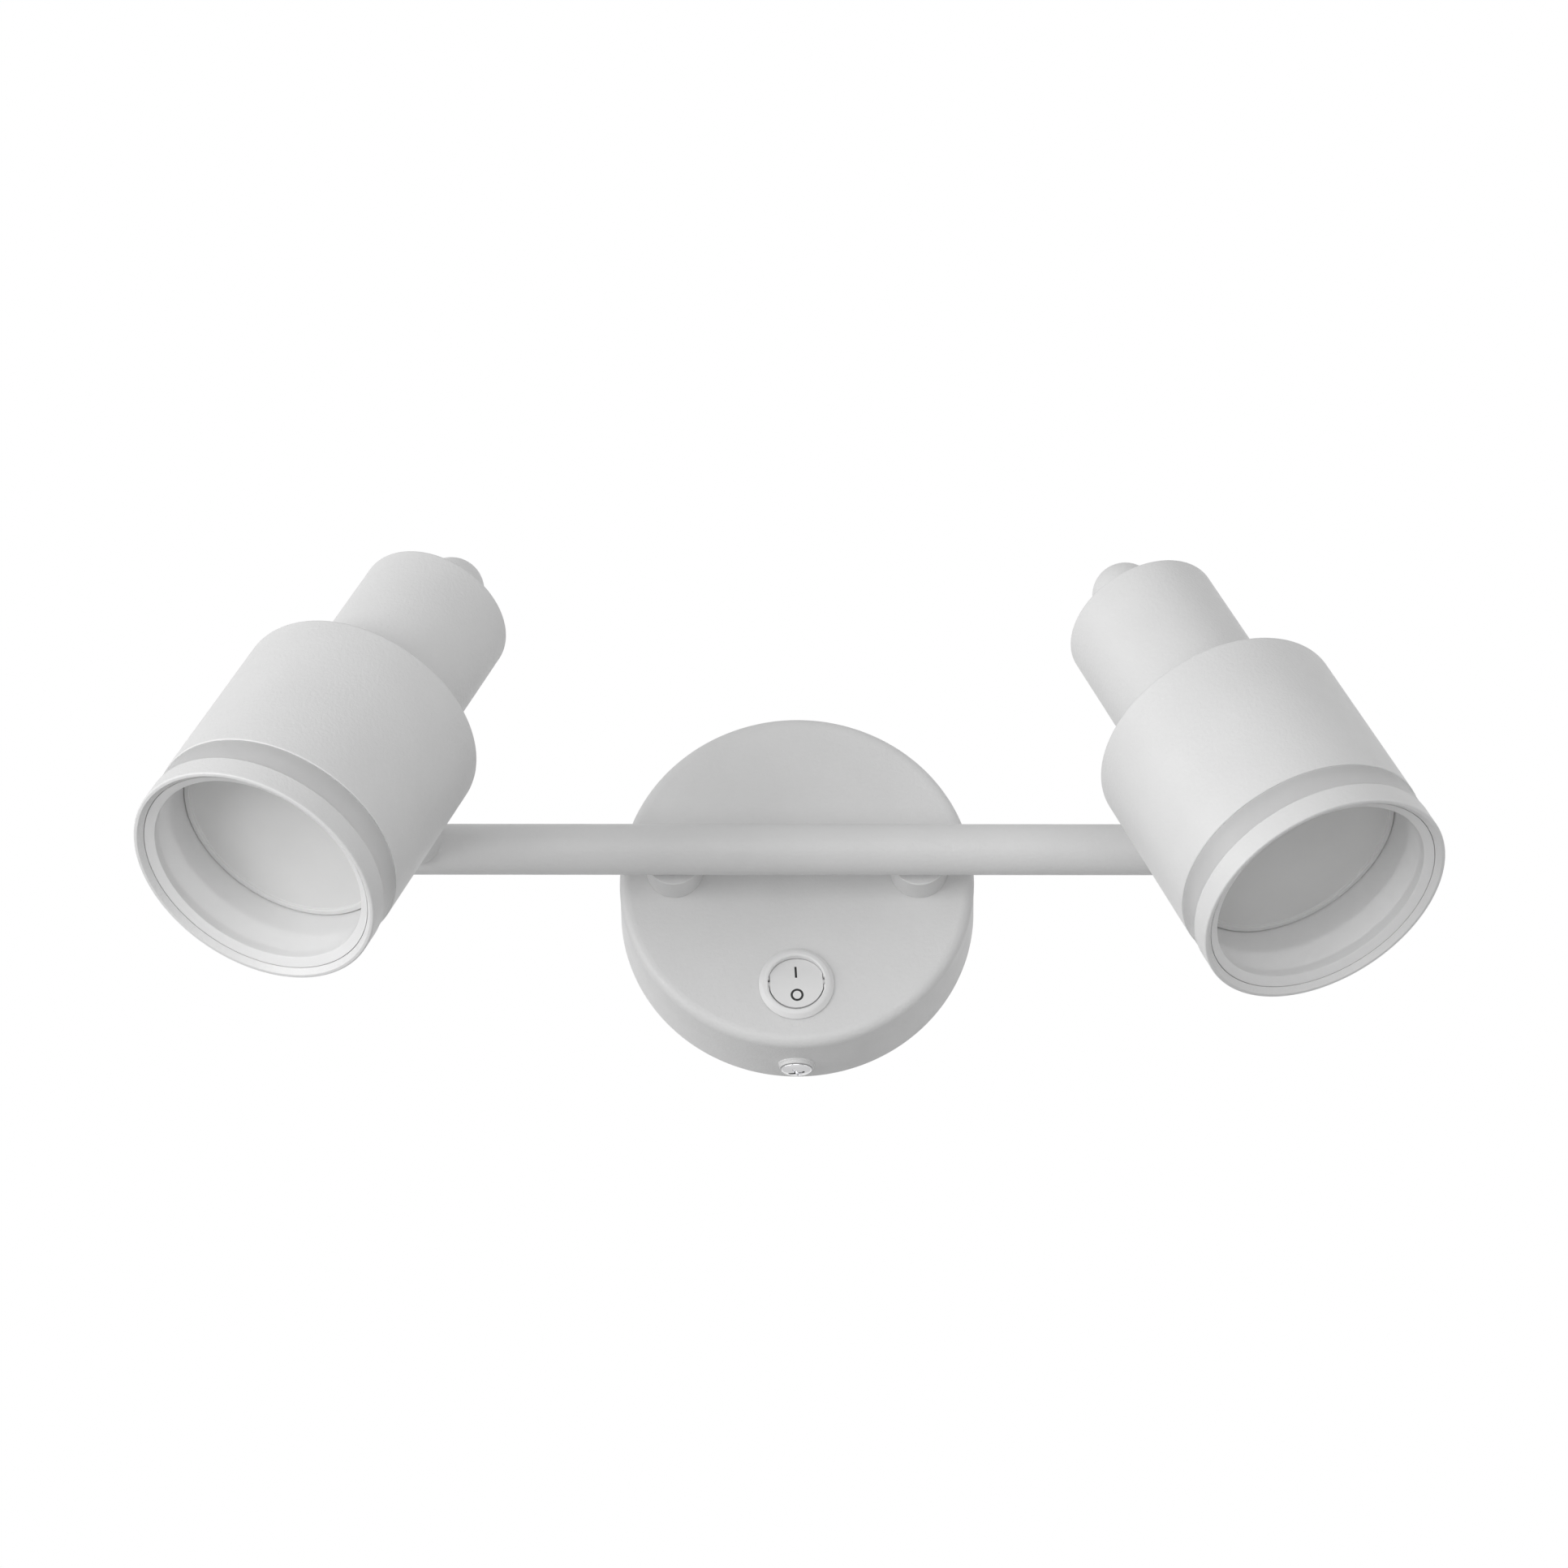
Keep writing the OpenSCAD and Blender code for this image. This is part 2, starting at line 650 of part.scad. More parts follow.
// Round-ended cap on the rear, screwed through the housing's end
module rear_cap(side) {
    color("white") at_head(side) translate([0, 0, rear_end]) {
        cylinder(d = cap_d, h = cap_len);
        translate([0, 0, cap_len]) sphere(d = cap_d);
        translate([0, 0, -rear_wall - 4]) cylinder(r = m4_r, h = rear_wall + 5);
    }
}

function flange_points() = [for (a = [30, 150, 270]) (flange_r - 2.9) * [cos(a), sin(a)]];
function post_points() = [for (a = [90, 210, 330]) post_pitch * [cos(a), sin(a)]];

// Front can, open at the front. Three posts on its floor hold the heat sink
module head_shell(side) {
    floor_at = head_len - floor_t;
    color("white") at_head(side) difference() {
        union() {
            difference() {
                union() {
                    translate([0, 0, band_end]) cylinder(r = head_r, h = head_len - band_end - 1);
                    translate([0, 0, head_len - 1]) rotate_extrude() {
                        square([head_r - 1, 1]);
                        intersection() {
                            translate([head_r - 1, 0]) circle(r = 1);
                            square([head_r, 1]);
                        }
                    }
                }
                translate([0, 0, band_end - through]) cylinder(r = shell_in, h = floor_at - band_end + through);
            }
            intersection() {
                copies_at(post_points()) translate([0, 0, sink_at + sink_t])
                    cylinder(r = post_rad, h = floor_at - sink_at - sink_t + through);
                translate([0, 0, band_end]) cylinder(r = head_r, h = floor_at - band_end + 0.5);
            }
        }
        translate([0, 0, floor_at - through]) cylinder(r = rear_r + fit_gap, h = floor_t + 2 * through);
        copies_at(flange_points()) translate([0, 0, floor_at - through]) cylinder(r = m3_r + 0.02, h = floor_t);
        copies_at(post_points()) translate([0, 0, sink_at]) cylinder(r = m3_r + 0.02, h = sink_t + 9);
    }
}

module front_ring(side) {
    round_r = 0.4 * rim_w;
    color("white") at_head(side) rotate_extrude() {
        translate([ring_in, round_r]) square([rim_w, ring_len - round_r]);
        translate([ring_in + round_r, 0]) square([rim_w - 2 * round_r, ring_len]);
        translate([ring_in + round_r, round_r]) circle(r = round_r);
        translate([head_r - round_r, round_r]) circle(r = round_r);
    }
}

// Clear ring: a light guide from the rim back to the diffuser, with a band that shows outside
module light_ring(side) {
    color("lightgray") at_head(side) difference() {
        union() {
            translate([0, 0, light_front]) cylinder(r = light_out, h = band_end - light_front);
            translate([0, 0, ring_len]) cylinder(r = head_r - 0.3, h = band_w);
            translate([0, 0, ring_len]) cylinder(r = shell_in - fit_gap, h = light_end - ring_len);
        }
        translate([0, 0, light_front - 0.01])
            cylinder(r1 = light_in, r2 = light_in + light_flare, h = light_end - light_front + 0.02);
        translate([0, 0, light_end - 0.1]) cylinder(r = light_in + light_flare, h = through);
    }
}

// Opal disc with a raised rim, just inside the clear ring
module diffuser(side) {
    color("whitesmoke") at_head(side) {
        translate([0, 0, diffuser_depth + diffuser_rim_h])
            cylinder(r = diffuser_r, h = diffuser_t - diffuser_rim_h);
        ring(diffuser_r, diffuser_r - diffuser_rim, diffuser_depth, diffuser_depth + diffuser_rim_h + 0.5);
    }
}

// White cup from the LED board to the diffuser
module reflector(side) {
    mouth = diffuser_r - 1;
    color("white") at_head(side) difference() {
        union() {
            translate([0, 0, light_end]) cylinder(r = shell_in - fit_gap, h = 1.5);
            translate([0, 0, light_end + 1.5])
                cylinder(r1 = mouth + reflector_t, r2 = board_r + 0.4 + reflector_t, h = sink_at - light_end - 1.5);
        }
        translate([0, 0, light_end - through]) cylinder(r = mouth, h = 1.5 + through);
        translate([0, 0, light_end + 1.49])
            cylinder(r1 = mouth, r2 = board_r + 0.4, h = sink_at - light_end - 1.5 + 0.02);
        translate([0, 0, sink_at - 0.02]) cylinder(r = board_r + 0.4, h = through);
    }
}

// Aluminium circuit board with its LEDs in two rings
module led_board(side) {
    chip = 2.8;
    color("whitesmoke") at_head(side) {
        translate([0, 0, sink_at - board_t]) cylinder(r = board_r, h = board_t);
        for (a = [0 : 60 : 300]) rotate([0, 0, a]) translate([15 - chip / 2, -chip / 2, sink_at - board_t - 0.7])
            cube([chip, chip, 0.8]);
        for (a = [30 : 120 : 270]) rotate([0, 0, a]) translate([6 - chip / 2, -chip / 2, sink_at - board_t - 0.7])
            cube([chip, chip, 0.8]);
    }
}

// Finned disc that carries the board
module heat_sink(side) {
    fin_in = 8;
    fin_out = post_pitch - post_rad - 2;
    color("silver") at_head(side) difference() {
        union() {
            translate([0, 0, sink_at]) cylinder(r = shell_in - 0.3, h = sink_t);
            translate([0, 0, sink_at]) cylinder(r = fin_in + 1, h = sink_t + fin_len);
            for (i = [0 : fin_count - 1]) rotate([0, 0, (i + 0.5) * 360 / fin_count])
                translate([fin_in, -fin_t / 2, sink_at + sink_t - 0.5]) cube([fin_out - fin_in, fin_t, fin_len + 0.5]);
        }
        translate([0, 0, sink_at - through]) cylinder(r = 2.5, h = sink_t + fin_len + 2 * through);
        copies_at(post_points()) translate([0, 0, sink_at - through])
            cylinder(r = m3_r + screw_gap, h = sink_t + 2 * through);
    }
}

// Three screws in the rear housing's flange, and three through the heat sink into the shell's posts
module head_screws(side) {
    color("silver") at_head(side) {
        copies_at(flange_points()) translate([0, 0, head_len - floor_t - flange_t]) mirror([0, 0, 1])
            cross_screw(m3_r, flange_t + floor_t - 1.2, 2.7, 1.8);
        copies_at(post_points()) translate([0, 0, sink_at]) mirror([0, 0, 1])
            cross_screw(m3_r, sink_t + 7, 2.7, 1.8);
    }
}

wall_plate();
earth_screw();
terminal_block();
terminal_screws();
led_driver();
driver_screws();
base_cover();
side_screws();
switch_housing();
switch_rocker();
switch_terminals();
post(-1);  // left_post
post(1);  // right_post
post_nipples();
post_nuts();
crossbar();
end_cap(-1);  // left_end_cap
end_cap(1);  // right_end_cap
joint_seat(-1);  // left_joint_seat
joint_seat(1);  // right_joint_seat
swivel_washers();
knuckle(-1);  // left_knuckle
swivel_bolt(-1);  // left_swivel_bolt
pivot_screw(-1);  // left_pivot_screw
pivot_nut(-1);  // left_pivot_nut
friction_washer(-1);  // left_friction_washer
arm(-1);  // left_arm
stem_nut(-1);  // left_stem_nut
stem_collar(-1);  // left_stem_collar
stem_seat(-1);  // left_stem_seat
rear_housing(-1);  // left_rear_housing
rear_cap(-1);  // left_rear_cap
head_shell(-1);  // left_head_shell
front_ring(-1);  // left_front_ring
light_ring(-1);  // left_light_ring
diffuser(-1);  // left_diffuser
reflector(-1);  // left_reflector
led_board(-1);  // left_led_board
heat_sink(-1);  // left_heat_sink
head_screws(-1);  // left_head_screws
knuckle(1);  // right_knuckle
swivel_bolt(1);  // right_swivel_bolt
pivot_screw(1);  // right_pivot_screw
pivot_nut(1);  // right_pivot_nut
friction_washer(1);  // right_friction_washer
arm(1);  // right_arm
stem_nut(1);  // right_stem_nut
stem_collar(1);  // right_stem_collar
stem_seat(1);  // right_stem_seat
rear_housing(1);  // right_rear_housing
rear_cap(1);  // right_rear_cap
head_shell(1);  // right_head_shell
front_ring(1);  // right_front_ring
light_ring(1);  // right_light_ring
diffuser(1);  // right_diffuser
reflector(1);  // right_reflector
led_board(1);  // right_led_board
heat_sink(1);  // right_heat_sink
head_screws(1);  // right_head_screws
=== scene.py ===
import json
import math

import bmesh
import bpy
from mathutils import Matrix, Vector


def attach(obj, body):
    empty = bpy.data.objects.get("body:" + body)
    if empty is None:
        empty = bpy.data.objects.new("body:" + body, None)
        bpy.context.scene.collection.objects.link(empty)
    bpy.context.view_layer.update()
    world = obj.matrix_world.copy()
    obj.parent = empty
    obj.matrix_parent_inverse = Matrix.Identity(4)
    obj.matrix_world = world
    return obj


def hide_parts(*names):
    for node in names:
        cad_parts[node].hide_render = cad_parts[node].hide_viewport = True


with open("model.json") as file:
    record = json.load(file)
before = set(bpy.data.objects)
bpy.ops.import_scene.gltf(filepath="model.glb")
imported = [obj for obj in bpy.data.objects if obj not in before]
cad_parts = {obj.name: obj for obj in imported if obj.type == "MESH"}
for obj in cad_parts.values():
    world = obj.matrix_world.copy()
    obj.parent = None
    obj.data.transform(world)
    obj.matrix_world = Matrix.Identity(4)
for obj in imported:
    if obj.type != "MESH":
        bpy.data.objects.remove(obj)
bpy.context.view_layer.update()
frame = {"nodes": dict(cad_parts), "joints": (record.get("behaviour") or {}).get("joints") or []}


# Camera: a long lens, below the lamp and almost square to the wall, so the undersides show and the
# bar stays nearly level. Its place and lens come from the lamp's own outlines.
camera_data = bpy.data.cameras.new("camera")
camera_data.sensor_width = 36
camera_data.lens = 112.887
camera_data.clip_start = 0.05
camera_data.clip_end = 50
camera = bpy.data.objects.new("camera", camera_data)
bpy.context.scene.collection.objects.link(camera)
camera_at = Vector((0.010504, -1.422801, -0.580051))
azimuth, elevation, roll = (math.radians(a) for a in (0.598, -23.663, 0.270))
level = math.cos(elevation)
back = Vector((math.sin(azimuth) * level, -math.cos(azimuth) * level, math.sin(elevation)))
right = Vector((0, 0, 1)).cross(back).normalized()
up = back.cross(right)
turn = Matrix((right, up, back)).transposed().to_4x4() @ Matrix.Rotation(roll, 4, "Z")
camera.matrix_world = Matrix.Translation(camera_at) @ turn
bpy.context.scene.camera = camera
bpy.context.scene.view_settings.view_transform = "Standard"


# Studio: soft lamps in front and to the left, one at the left side and a weak one on the right, in a
# pale room. Whatever is seen behind the spotlight, mirrored in it or seen through it, is white.
def softbox(name, place, side, power):
    """A square lamp that faces the middle of the spotlight."""
    middle = Vector((0, -0.08, 0))
    data = bpy.data.lights.new(name, "AREA")
    data.shape = "RECTANGLE"
    data.size = side
    data.size_y = side
    data.energy = power
    lamp = bpy.data.objects.new(name, data)
    bpy.context.scene.collection.objects.link(lamp)
    lamp.location = place
    lamp.rotation_euler = (middle - Vector(place)).to_track_quat("-Z", "Y").to_euler()


def seen_directly(tree):
    """One for what is seen, mirrored or seen through something, and nothing for the light it gives."""
    path = tree.nodes.new("ShaderNodeLightPath")
    seen = path.outputs["Is Camera Ray"]
    for ray in ("Is Glossy Ray", "Is Transmission Ray"):
        either = tree.nodes.new("ShaderNodeMath")
        either.operation = "MAXIMUM"
        tree.links.new(seen, either.inputs[0])
        tree.links.new(path.outputs[ray], either.inputs[1])
        seen = either.outputs[0]
    return seen


softbox("front_softbox", (-0.1, -2.2, -0.5), 1.8, 13.8)
softbox("left_front_softbox", (-1.5, -1.3, -0.35), 1.0, 14.8)
softbox("left_softbox", (-1.75, -0.5, 0.12), 1.4, 7.4)
softbox("right_softbox", (1.8, -0.8, 0.2), 1.2, 3.6)

room_light, room_seen = 0.44, 1.0
world = bpy.data.worlds.new("studio_room")
bpy.context.scene.world = world
world.use_nodes = True
room = world.node_tree
room.nodes.clear()
either_way = room.nodes.new("ShaderNodeMixShader")
room.links.new(seen_directly(room), either_way.inputs[0])
for socket, strength in ((1, room_light), (2, room_seen)):
    glow = room.nodes.new("ShaderNodeBackground")
    glow.inputs["Color"].default_value = (1, 1, 1, 1)
    glow.inputs["Strength"].default_value = strength
    room.links.new(glow.outputs[0], either_way.inputs[socket])
room_end = room.nodes.new("ShaderNodeOutputWorld")
room.links.new(either_way.outputs[0], room_end.inputs["Surface"])


# Base cover: a pressed steel cup with a rounded front edge, powder coated white. It hangs over the
# wall plate on two side screws, which sit in raised collars, and it has holes for the switch and
# for the threaded tubes of the two posts.
MM = 0.001
crisp_from = 28


def placed(origin, x, z):
    """The place of a piece that is drawn with its own x and z axes."""
    x, z = Vector(x).normalized(), Vector(z).normalized()
    place = Matrix((x, z.cross(x), z)).transposed().to_4x4()
    place.translation = origin
    return place


def eased(corners):
    """The closed outline of some corners. A corner is (across, along) or (across, along, radius), and
    each rounding starts and ends with a short straight bit."""
    bits, straight = 6, 0.1
    points = []
    for i, corner in enumerate(corners):
        tip = Vector(corner[:2])
        if len(corner) == 2:
            points.append(tip)
            continue
        radius = corner[2]
        before = (Vector(corners[i - 1][:2]) - tip).normalized()
        after = (Vector(corners[(i + 1) % len(corners)][:2]) - tip).normalized()
        half = before.angle(after) / 2
        centre = tip + (before + after).normalized() * radius / math.sin(half)
        reach = radius / math.tan(half)
        first = tip + before * reach - centre
        last = tip + after * reach - centre
        start = math.atan2(first.y, first.x)
        sweep = (math.atan2(last.y, last.x) - start + math.pi) % (2 * math.pi) - math.pi
        points.append(centre + first + before * straight * reach)
        for k in range(bits + 1):
            angle = start + sweep * k / bits
            points.append(centre + radius * Vector((math.cos(angle), math.sin(angle))))
        points.append(centre + last + after * straight * reach)
    return points


def shown(name, mesh, place, crisp=crisp_from):
    """An object from a finished bmesh, with smooth faces and crisp edges."""
    bmesh.ops.recalc_face_normals(mesh, faces=mesh.faces)
    data = bpy.data.meshes.new(name)
    mesh.to_mesh(data)
    mesh.free()
    data.transform(place)
    data.shade_smooth()
    data.set_sharp_from_angle(angle=math.radians(crisp))
    piece = bpy.data.objects.new(name, data)
    bpy.context.scene.collection.objects.link(piece)
    return piece


def turned(name, corners, place, steps, reach=lambda radius, angle: radius):
    """A turned piece: a closed outline of (radius, height) corners in millimetres, spun round z. A
    reach that is given makes the radius depend on the angle."""
    on_axis = 0.0001
    angles = [2 * math.pi * k / steps for k in range(steps)]
    mesh = bmesh.new()
    rows = []
    for p in eased(corners):
        if p.x < on_axis:
            rows.append([mesh.verts.new((0, 0, p.y * MM))])
            continue
        rims = [(reach(p.x, a) * math.cos(a), reach(p.x, a) * math.sin(a), p.y) for a in angles]
        rows.append([mesh.verts.new(Vector(rim) * MM) for rim in rims])
    for low, high in zip(rows, rows[1:] + rows[:1]):
        for k in range(steps):
            ring = [low[k % len(low)], low[(k + 1) % steps % len(low)]]
            ring += [high[(k + 1) % steps % len(high)], high[k % len(high)]]
            face = list(dict.fromkeys(ring))
            if len(face) > 2:
                mesh.faces.new(face)
    return shown(name, mesh, place)


def drill(radius, first, last, place, steps=64):
    """A round tool for cutting, between two heights in millimetres."""
    return turned("cut", [(0, first), (radius, first), (radius, last), (0, last)], place, steps)


def reshaped(piece, operation, *tools):
    """Cuts other forms from a piece, joins them to it, or keeps what they share. The tools go."""
    for tool in tools:
        step = piece.modifiers.new(operation, "BOOLEAN")
        step.operation = operation
        step.solver = "EXACT"
        step.object = tool
    bpy.context.view_layer.update()
    worked = piece.evaluated_get(bpy.context.evaluated_depsgraph_get())
    made = bpy.data.meshes.new_from_object(worked)
    piece.modifiers.clear()
    piece.data = made
    for tool in tools:
        bpy.data.objects.remove(tool)
    made.shade_smooth()
    made.set_sharp_from_angle(angle=math.radians(crisp_from))


def surface(name, colour, roughness, relief, metallic=0.0, mottle=(40, 0.02), gloss=(220, 0.05),
            edge_highlight=None):
    """A material whose tint, gloss and relief vary finely. Each pair is a scale per metre and an
    amount. Edge highlight, where it is given, is a lighter tint painted on the edges as a highlight."""
    material = bpy.data.materials.new(name)
    material.use_nodes = True
    tree = material.node_tree
    shader = tree.nodes["Principled BSDF"]
    shader.inputs["Metallic"].default_value = metallic
    where = tree.nodes.new("ShaderNodeTexCoord")
    low, high = 0.3, 0.7

    def noise(scale, detail):
        texture = tree.nodes.new("ShaderNodeTexNoise")
        texture.inputs["Scale"].default_value = scale
        texture.inputs["Detail"].default_value = detail
        tree.links.new(where.outputs["Object"], texture.inputs["Vector"])
        return texture.outputs["Fac"]

    def ramp(source, start, end, first, last):
        steps = tree.nodes.new("ShaderNodeValToRGB")
        near, far = steps.color_ramp.elements
        near.position, far.position = start, end
        near.color, far.color = first, last
        tree.links.new(source, steps.inputs[0])
        return steps.outputs["Color"]

    dim, lit = ([c * (1 + s * mottle[1]) for c in colour] + [1] for s in (-1, 1))
    tint = ramp(noise(mottle[0], 4), low, high, dim, lit)
    # Painted highlight: where the bevelled normal turns from the face's own, the edges get a lighter
    # tint.
    if edge_highlight:
        flat = tree.nodes.new("ShaderNodeNewGeometry")
        rounded = tree.nodes.new("ShaderNodeBevel")
        rounded.samples = 4
        rounded.inputs["Radius"].default_value = 0.5 * MM
        likeness = tree.nodes.new("ShaderNodeVectorMath")
        likeness.operation = "DOT_PRODUCT"
        tree.links.new(flat.outputs["Normal"], likeness.inputs[0])
        tree.links.new(rounded.outputs["Normal"], likeness.inputs[1])
        share = ramp(likeness.outputs["Value"], 0.80, 0.99, (0.6, 0.6, 0.6, 1), (0, 0, 0, 1))
        blend = tree.nodes.new("ShaderNodeMix")
        blend.data_type = "RGBA"
        tree.links.new(share, blend.inputs["Factor"])
        tree.links.new(tint, blend.inputs[6])
        blend.inputs[7].default_value = (*edge_highlight, 1)
        tint = blend.outputs[2]
    tree.links.new(tint, shader.inputs["Base Color"])
    rough = tree.nodes.new("ShaderNodeMapRange")
    tree.links.new(noise(gloss[0], 6), rough.inputs["Value"])
    rough.inputs["From Min"].default_value = low
    rough.inputs["From Max"].default_value = high
    rough.inputs["To Min"].default_value = roughness - gloss[1]
    rough.inputs["To Max"].default_value = roughness + gloss[1]
    tree.links.new(rough.outputs["Result"], shader.inputs["Roughness"])
    bump = tree.nodes.new("ShaderNodeBump")
    bump.inputs["Strength"].default_value = 0.7
    bump.inputs["Distance"].default_value = relief[1]
    tree.links.new(noise(relief[0], 2), bump.inputs["Height"])
    tree.links.new(bump.outputs["Normal"], shader.inputs["Normal"])
    return material


def powder_coat(name):
    """White powder coat, with the fine grain of its kind and a painted highlight on its edges."""
    return surface(name, (0.71, 0.71, 0.71), 0.45, relief=(950, 0.00018), edge_highlight=(0.77, 0.77, 0.77))


def put_on(piece, material, slot, body, *stands_for):
    """Finishes a piece: its material, its body and the nodes it stands for. The slot is not used."""
    piece.data.materials.clear()
    piece.data.materials.append(material)
    even = piece.modifiers.new("even_shading", "WEIGHTED_NORMAL")
    even.keep_sharp = True
    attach(piece, body)
    if stands_for:
        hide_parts(*stands_for)


white_coat = powder_coat("white_powder_coat")
cover_r, cover_in, cover_front, cover_wall = 55, 53.5, 27, 1.5
front_r, front_edge, crease = 54.5, 3.2, 23.3
post_x, bar_z, switch_z, screw_out = 37.5, 2.2, -35, 10
tube_hole, switch_hole, screw_hole = 5.1, 10.35, 2.25
wall = placed((0, 0, 0), (1, 0, 0), (0, -1, 0))
post_places = [Matrix.Translation((s * post_x * MM, 0, bar_z * MM)) @ wall for s in (-1, 1)]
switch_hole_place = Matrix.Translation((0, 0, switch_z * MM)) @ wall
screw_places = [placed((0, -screw_out * MM, 0), (1, 0, 0), (0, 0, s)) for s in (1, -1)]
cover = turned("base_cover", [
    (0, cover_front), (front_r, cover_front, front_edge), (front_r + 0.05, crease),
    (front_r - 0.08, crease - 0.05), (cover_r, 0, 0.3), (cover_in, 0, 0.3),
    (cover_in, cover_front - cover_wall, 1), (0, cover_front - cover_wall),
], wall, 224)
cuts = [drill(tube_hole, 30, 20, place) for place in post_places]
cuts += [drill(switch_hole, 30, 20, switch_hole_place, 96)]
cuts += [drill(screw_hole, 58, 50, place, 48) for place in screw_places]
reshaped(cover, "DIFFERENCE", *cuts)
put_on(cover, white_coat, "white_paint", "base", "base_cover")

collar_in, collar_foot, collar_top = 2.3, 54, 56
for where, place in zip(("top", "bottom"), screw_places):
    collar = turned(where + "_screw_collar", [
        (collar_in, collar_top), (collar_in, collar_foot), (5.7, collar_foot), (5.55, 54.85),
        (5.25, 55.1), (5.2, collar_top, 0.25),
    ], place, 96)
    put_on(collar, white_coat, "white_paint", "base")


# Side screws: pan heads with a cross recess, nickel plated bright, one in the top and one in the
# underside of the cover, where it shows. Their shanks reach into the lugs of the wall plate.
def block(name, low, high, place, edge):
    """A block with eased edges between two corners, in millimetres."""
    middle = (Vector(high) + Vector(low)) / 2 * MM
    size = (Vector(high) - Vector(low)) * MM
    form = Matrix.Translation(middle) @ Matrix.Diagonal((*size, 1))
    mesh = bmesh.new()
    bmesh.ops.create_cube(mesh, size=1)
    bmesh.ops.transform(mesh, matrix=form, verts=mesh.verts)
    if edge:
        every_edge, width = mesh.edges[:], edge * MM
        bmesh.ops.bevel(mesh, geom=every_edge, offset=width, segments=3, profile=0.5, affect="EDGES")
    return shown(name, mesh, place, crisp=35)


def ease_edges(piece, width, segments, sharper_than):
    """Rounds the edges of a finished piece that are sharper than an angle in degrees."""
    rounding = piece.modifiers.new("edge", "BEVEL")
    rounding.width = width * MM
    rounding.segments = segments
    rounding.limit_method = "ANGLE"
    rounding.angle_limit = math.radians(sharper_than)


bright = surface("bright_nickel", (0.70, 0.70, 0.71), 0.11, metallic=1.0, gloss=(900, 0.05),
                 relief=(2500, 0.000002))
head_r, head_low, head_top = 4.7, 56, 57.55
rim_low, rim_under = head_low + 0.18, head_r - 0.5
shank_r, shank_end = 2, 50
blade_half, blade_t, blade_foot = 2.6, 0.48, head_low + 0.35
for where, place in zip(("top", "bottom"), screw_places):
    screw = turned(where + "_side_screw", [
        (0, head_top), (2.2, head_top - 0.12, 1.5), (4.1, head_top - 0.65, 1.2),
        (head_r, head_low + 0.45, 0.3), (head_r, rim_low), (rim_under, rim_low),
        (rim_under, head_low), (shank_r, head_low), (shank_r, shank_end, 0.4), (0, shank_end),
    ], place, 96)
    blades = []
    for angle in (20, 110):
        blade_place = place @ Matrix.Rotation(math.radians(angle), 4, "Z")
        low, high = (-blade_half, -blade_t, blade_foot), (blade_half, blade_t, head_top + 1)
        blades.append(block("cut", low, high, blade_place, 0))
    reshaped(screw, "DIFFERENCE", *blades)
    ease_edges(screw, 0.06, 2, 40)
    if where == "top":
        put_on(screw, bright, "bright_steel", "base", "side_screws")
    else:
        put_on(screw, bright, "bright_steel", "base")


# Inside the base: a zinc-plated steel plate on the wall, an earth screw, a nylon terminal block
# with brass screws, and the driver that feeds the lamps, held by two screws.
nodes = frame["nodes"]


def softened(name, material, slot, body, edge):
    """A copy of a CAD node with its sharp edges eased, in its place."""
    same_point, flat, sharp_from = 0.002 * MM, math.radians(0.5), math.radians(35)
    mesh = bmesh.new()
    mesh.from_mesh(nodes[name].data)
    bmesh.ops.remove_doubles(mesh, verts=mesh.verts, dist=same_point)
    bmesh.ops.dissolve_limit(mesh, angle_limit=flat, verts=mesh.verts, edges=mesh.edges)
    shared = [e for e in mesh.edges if len(e.link_faces) == 2]
    sharp = [e for e in shared if e.calc_face_angle(0) > sharp_from]
    bmesh.ops.bevel(mesh, geom=sharp, offset=edge * MM, segments=2, profile=0.5, affect="EDGES",
                    clamp_overlap=True)
    piece = shown(name + "_shown", mesh, Matrix.Identity(4), crisp=50)
    put_on(piece, material, slot, body, name)


zinc = surface("zinc_plate", (0.56, 0.57, 0.60), 0.34, metallic=1.0, mottle=(260, 0.09),
               gloss=(700, 0.10), relief=(900, 0.000008))
brass = surface("plain_brass", (0.66, 0.49, 0.22), 0.27, metallic=1.0, mottle=(300, 0.06),
                gloss=(900, 0.08), relief=(1800, 0.000004))
nylon = surface("natural_nylon", (0.76, 0.74, 0.67), 0.42, mottle=(120, 0.03), relief=(900, 0.00001))
case = surface("driver_case", (0.72, 0.73, 0.73), 0.50, gloss=(500, 0.06), relief=(2200, 0.00002))
softened("wall_plate", zinc, "zinc_steel", "base", 0.2)
softened("earth_screw", brass, "brass", "base", 0.08)
softened("terminal_block", nylon, "block_plastic", "base", 0.2)
softened("terminal_screws", brass, "brass", "base", 0.06)
softened("led_driver", case, "driver_plastic", "base", 0.5)
softened("driver_screws", zinc, "zinc_steel", "base", 0.08)


# Switch body: snapped into the cover, of white plastic, with a sloping bezel and brass terminals. It
# sits turned by three degrees in its round hole. Its mouth has a short flat on each side, with a
# notch for the rocker's ear.
# The switch plastic's edges get a lighter tint, a painted highlight.
plastic = surface("switch_plastic", (0.80, 0.80, 0.80), 0.36, gloss=(600, 0.04),
                  relief=(2600, 0.000012), edge_highlight=(0.83, 0.83, 0.83))
switch_place = placed((0, -cover_front * MM, switch_z * MM), (1, 0, 0), (0, -1, 0))
switch_place = switch_place @ Matrix.Rotation(math.radians(3.3), 4, "Z")
mouth_r, flat_at, floor_at = 8.6, 8.25, -10.5
bezel_out, body_r, body_end = 11.5, 10.25, -14.5
bezel_under = bezel_out - 0.4
notch_out, notch_half, notch_foot, notch_top = 8.7, 1.3, -1.3, 7


def flattened(radius, angle):
    """The mouth's radius, with a flat on each side that fades out over the bezel's first 2 mm."""
    out = max(radius - mouth_r, 0)
    fade = (mouth_r - flat_at) * min(out / 2, 1)
    return min(radius, (flat_at + out + fade) / max(abs(math.cos(angle)), 0.01))


